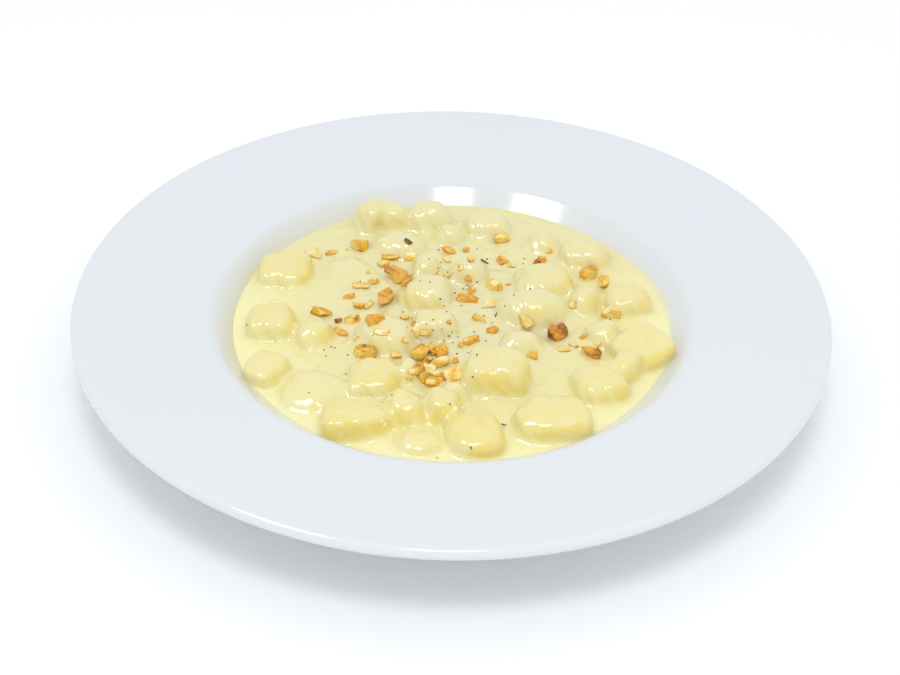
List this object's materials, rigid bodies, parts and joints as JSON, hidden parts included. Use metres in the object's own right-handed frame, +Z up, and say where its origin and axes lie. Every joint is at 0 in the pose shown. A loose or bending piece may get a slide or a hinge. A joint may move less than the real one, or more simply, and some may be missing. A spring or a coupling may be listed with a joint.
{
  "type": "plate of potato gnocchi",
  "caption": "Round white porcelain pasta plate with a wide rim and a shallow well, holding potato gnocchi in a pale cream sauce with chopped walnuts and black pepper.",
  "frame": {"origin": "centre of the plate's foot ring, on the table", "axes": "+Z up, out of the plate; +Y away from the diner; +X to the diner's right"},
  "size_m": [0.2896, 0.29, 0.0364],
  "materials": {
    "porcelain": "smooth clear glaze over white porcelain",
    "cream_sauce": "wet pale yellow cream sauce",
    "gnocchi": "soft boiled potato dough under a wet film of sauce",
    "walnut": "toasted walnut, pale where chopped, brown on the skin"
  },
  "bodies": {
    "root": {"plate": "porcelain", "sauce": "cream_sauce", "gnocco_01": "gnocchi", "gnocco_02": "gnocchi", "gnocco_03": "gnocchi", "gnocco_04": "gnocchi", "gnocco_05": "gnocchi", "gnocco_06": "gnocchi", "gnocco_07": "gnocchi", "gnocco_08": "gnocchi", "gnocco_09": "gnocchi", "gnocco_10": "gnocchi", "gnocco_11": "gnocchi", "gnocco_12": "gnocchi", "gnocco_13": "gnocchi", "gnocco_14": "gnocchi", "gnocco_15": "gnocchi", "gnocco_16": "gnocchi", "gnocco_17": "gnocchi", "gnocco_18": "gnocchi", "gnocco_19": "gnocchi", "gnocco_20": "gnocchi", "gnocco_21": "gnocchi", "gnocco_22": "gnocchi", "gnocco_23": "gnocchi", "gnocco_24": "gnocchi", "gnocco_25": "gnocchi", "gnocco_26": "gnocchi", "gnocco_27": "gnocchi", "gnocco_28": "gnocchi", "gnocco_29": "gnocchi", "gnocco_30": "gnocchi", "gnocco_31": "gnocchi", "gnocco_32": "gnocchi", "gnocco_33": "gnocchi", "gnocco_34": "gnocchi", "gnocco_35": "gnocchi", "gnocco_36": "gnocchi", "gnocco_37": "gnocchi", "gnocco_38": "gnocchi", "walnut_01": "walnut", "walnut_02": "walnut", "walnut_03": "walnut", "walnut_04": "walnut", "walnut_05": "walnut", "walnut_06": "walnut", "walnut_07": "walnut", "walnut_08": "walnut", "walnut_09": "walnut", "walnut_10": "walnut", "walnut_11": "walnut", "walnut_12": "walnut", "walnut_13": "walnut", "walnut_14": "walnut", "walnut_15": "walnut", "walnut_16": "walnut", "walnut_17": "walnut", "walnut_18": "walnut", "walnut_19": "walnut", "walnut_20": "walnut"}
  },
  "joints": []
}
